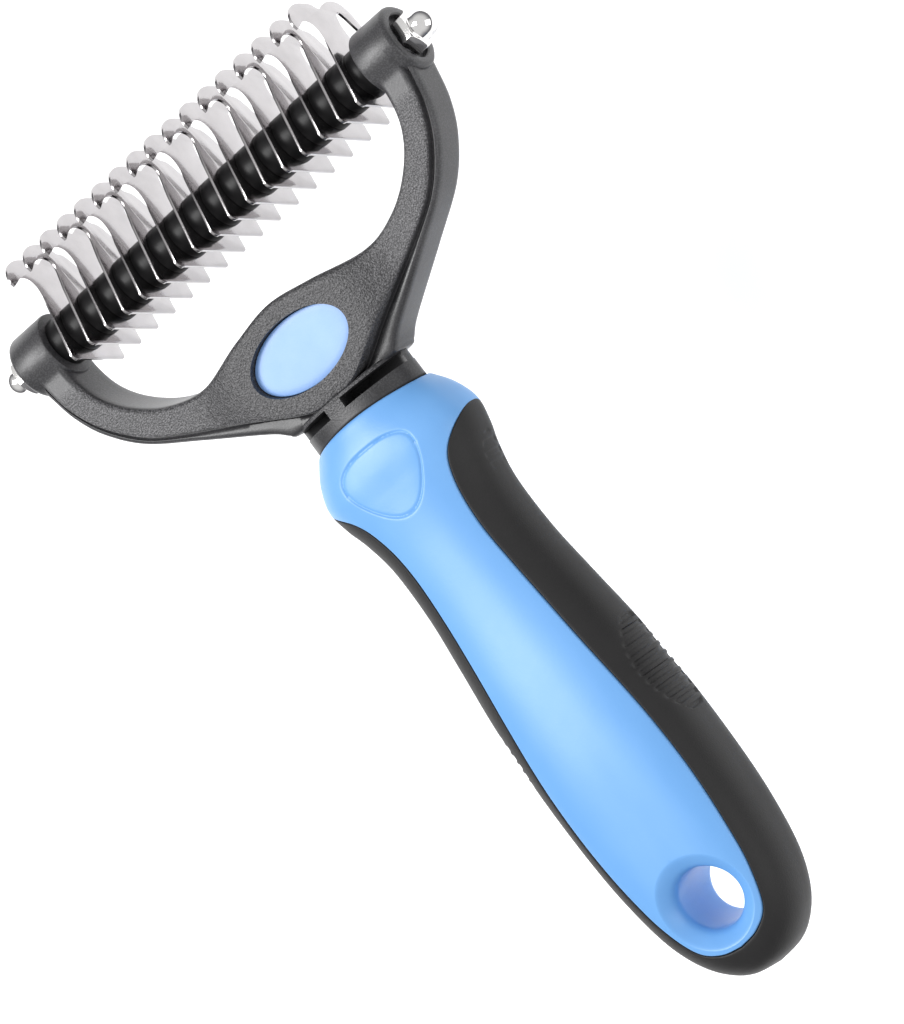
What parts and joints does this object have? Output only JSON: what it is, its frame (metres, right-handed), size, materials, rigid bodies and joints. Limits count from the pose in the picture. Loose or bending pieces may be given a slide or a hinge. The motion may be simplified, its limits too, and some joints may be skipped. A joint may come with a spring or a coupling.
{
  "type": "dematting comb",
  "caption": "Double-sided dematting comb: a bar of hooked steel blades and spacer sleeves, clamped between the arms of a forked head on a two-colour handle with a hang hole.",
  "frame": {"origin": "middle of the hang hole in the handle's tail", "axes": "+Y along the handle to the blades, +X along the blade bar, +Z out of the side on which every blade has a hook"},
  "size_m": [0.113, 0.1799, 0.022],
  "materials": {
    "yoke_plastic": "fine spark-eroded grain, smooth outer walls",
    "badge_plastic": "satin",
    "core_plastic": "satin",
    "band_rubber": "soft matte",
    "sleeve_plastic": "smooth",
    "blade_steel": "polished stainless steel with ground edges",
    "rod_steel": "zinc plated",
    "washer_steel": "zinc plated",
    "nut_chrome": "bright chrome"
  },
  "bodies": {
    "body": {"yoke": "yoke_plastic", "badge_front": "badge_plastic", "badge_back": "badge_plastic", "handle_core": "core_plastic", "grip_band": "band_rubber", "tie_rod": "rod_steel", "end_sleeve_left": "sleeve_plastic", "end_sleeve_right": "sleeve_plastic", "blade_01": "blade_steel", "blade_02": "blade_steel", "blade_03": "blade_steel", "blade_04": "blade_steel", "blade_05": "blade_steel", "blade_06": "blade_steel", "blade_07": "blade_steel", "blade_08": "blade_steel", "blade_09": "blade_steel", "blade_10": "blade_steel", "blade_11": "blade_steel", "blade_12": "blade_steel", "blade_13": "blade_steel", "blade_14": "blade_steel", "blade_15": "blade_steel", "blade_16": "blade_steel", "blade_17": "blade_steel", "sleeve_01": "sleeve_plastic", "sleeve_02": "sleeve_plastic", "sleeve_03": "sleeve_plastic", "sleeve_04": "sleeve_plastic", "sleeve_05": "sleeve_plastic", "sleeve_06": "sleeve_plastic", "sleeve_07": "sleeve_plastic", "sleeve_08": "sleeve_plastic", "sleeve_09": "sleeve_plastic", "sleeve_10": "sleeve_plastic", "sleeve_11": "sleeve_plastic", "sleeve_12": "sleeve_plastic", "sleeve_13": "sleeve_plastic", "sleeve_14": "sleeve_plastic", "sleeve_15": "sleeve_plastic", "sleeve_16": "sleeve_plastic"},
    "washer_left": {"washer_left": "washer_steel"},
    "washer_right": {"washer_right": "washer_steel"},
    "nut_left": {"nut_left": "nut_chrome"},
    "nut_right": {"nut_right": "nut_chrome"}
  },
  "joints": [
    {"name": "nut_left_travel", "type": "slide", "parent": "body", "child": "washer_left", "axis": [-1, 0, 0], "range_m": [0, 0.0028]},
    {"name": "nut_left_turn", "type": "hinge", "parent": "washer_left", "child": "nut_left", "pos_m": [-0.0496, 0.1477, 0], "axis": [-1, 0, 0], "range_deg": [0, 1440]},
    {"name": "nut_right_travel", "type": "slide", "parent": "body", "child": "washer_right", "axis": [1, 0, 0], "range_m": [0, 0.0028]},
    {"name": "nut_right_turn", "type": "hinge", "parent": "washer_right", "child": "nut_right", "pos_m": [0.0496, 0.1477, 0], "axis": [1, 0, 0], "range_deg": [0, 1440]}
  ],
  "couplings": [
    {"joint": "nut_left_turn", "follows": "nut_left_travel", "rad_per_m": 8975.9},
    {"joint": "nut_right_turn", "follows": "nut_right_travel", "rad_per_m": 8975.9}
  ]
}
